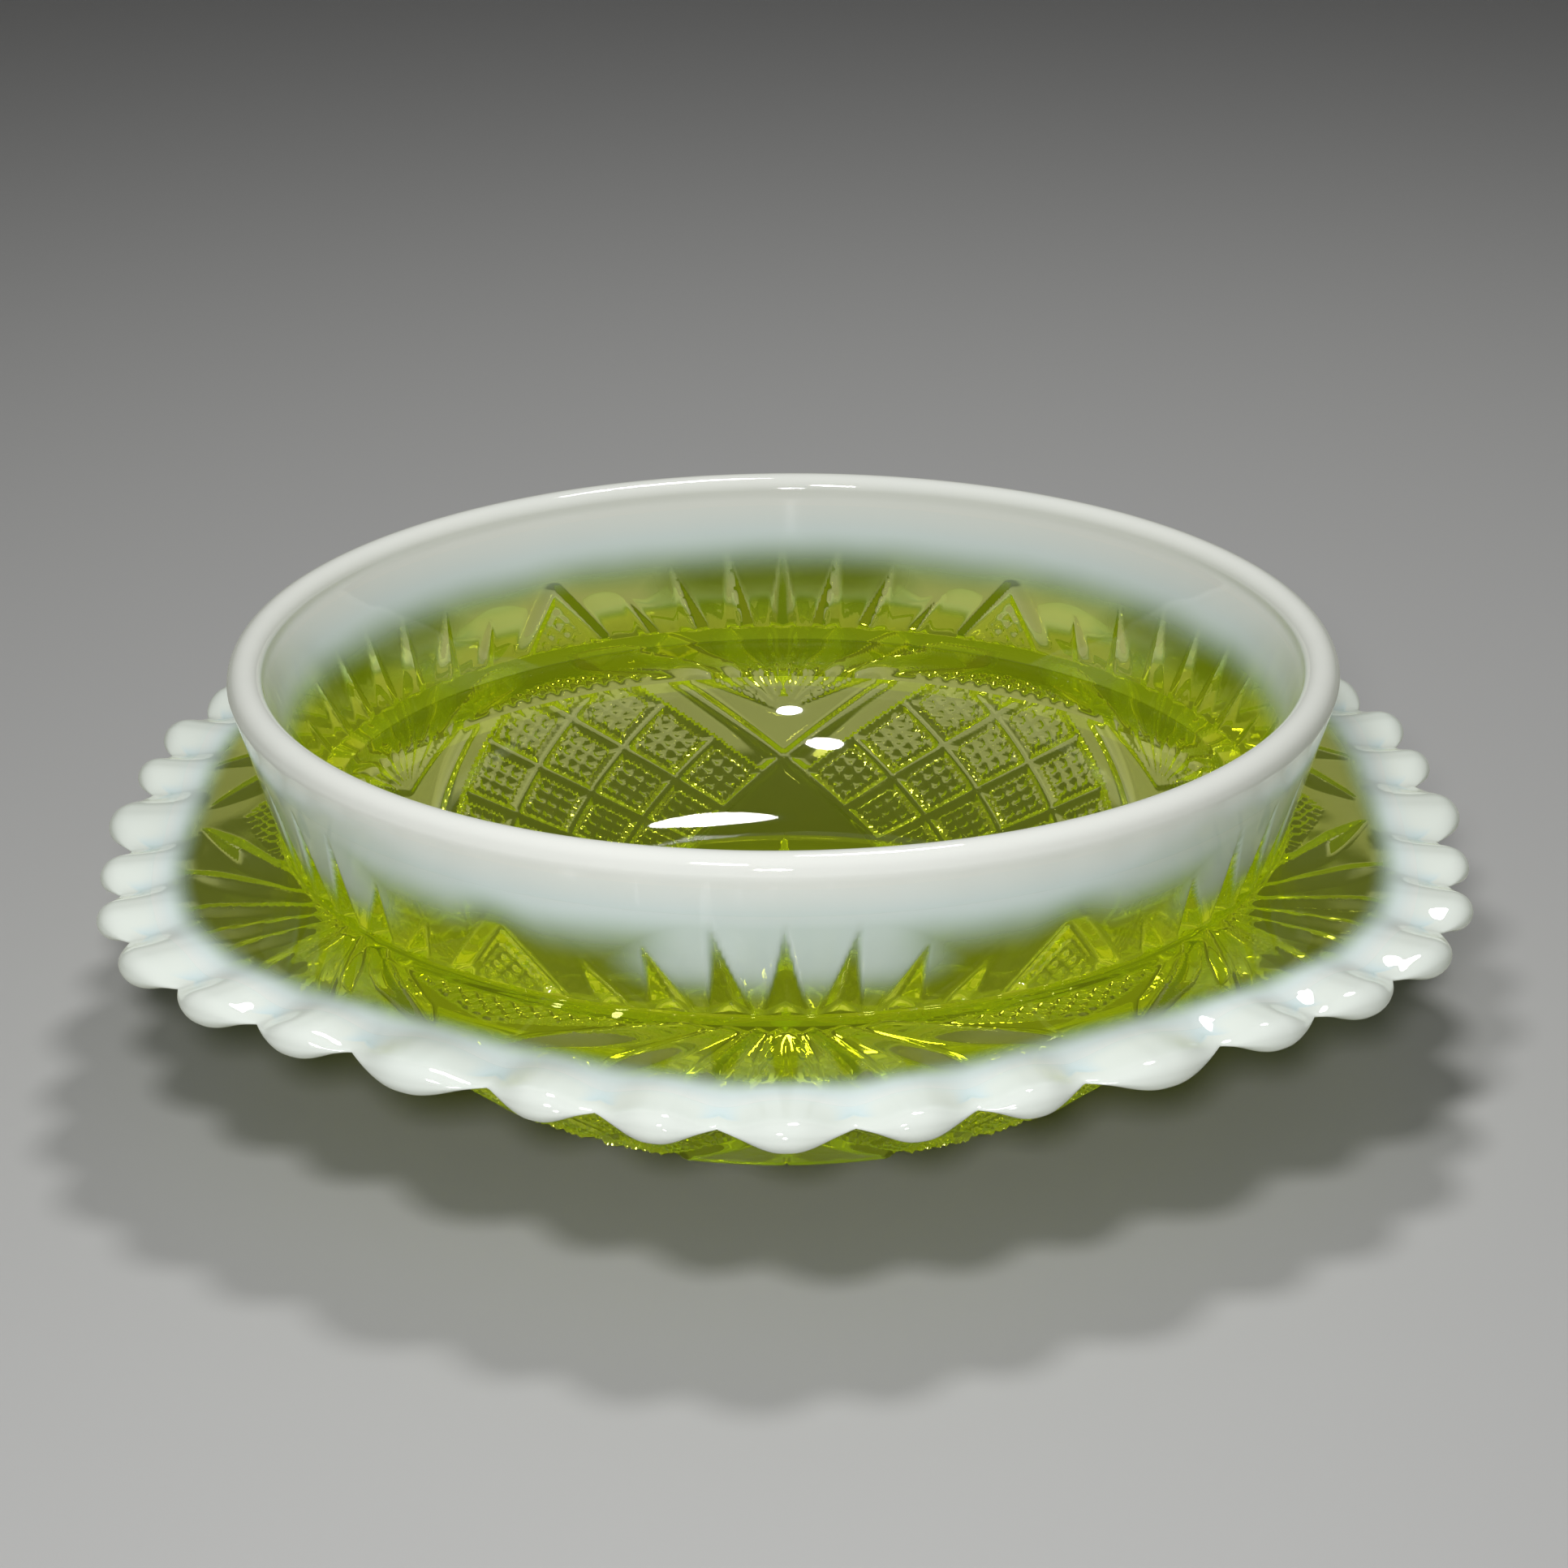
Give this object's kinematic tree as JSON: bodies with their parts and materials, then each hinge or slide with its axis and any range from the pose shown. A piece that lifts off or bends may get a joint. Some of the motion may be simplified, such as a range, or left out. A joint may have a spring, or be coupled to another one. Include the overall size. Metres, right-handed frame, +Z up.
{
  "type": "pressed glass dish",
  "caption": "Round pressed dish in yellow-green uranium glass with an opal white rim and a scalloped opal-edged flange round its wall.",
  "frame": {"origin": "centre of the flat standing face under the base", "axes": "+Z up, along the dish's axis; a fan of the pressed pattern points along -Y, which is the front"},
  "size_m": [0.1712, 0.1788, 0.0495],
  "materials": {
    "clear_uranium_glass": "fire-polished clear yellow-green uranium glass",
    "opal_edge_glass": "glossy opalescent white, bluish and translucent towards its inner edge",
    "opal_wall_glass": "glossy opalescent white that clears to green towards its lower edge"
  },
  "bodies": {
    "root": {"base": "clear_uranium_glass", "lower_bowl": "clear_uranium_glass", "flange_root": "clear_uranium_glass", "flange": "clear_uranium_glass", "scalloped_edge": "opal_edge_glass", "fan_wall": "clear_uranium_glass", "opal_band": "opal_wall_glass", "rim": "opal_wall_glass"}
  },
  "joints": []
}
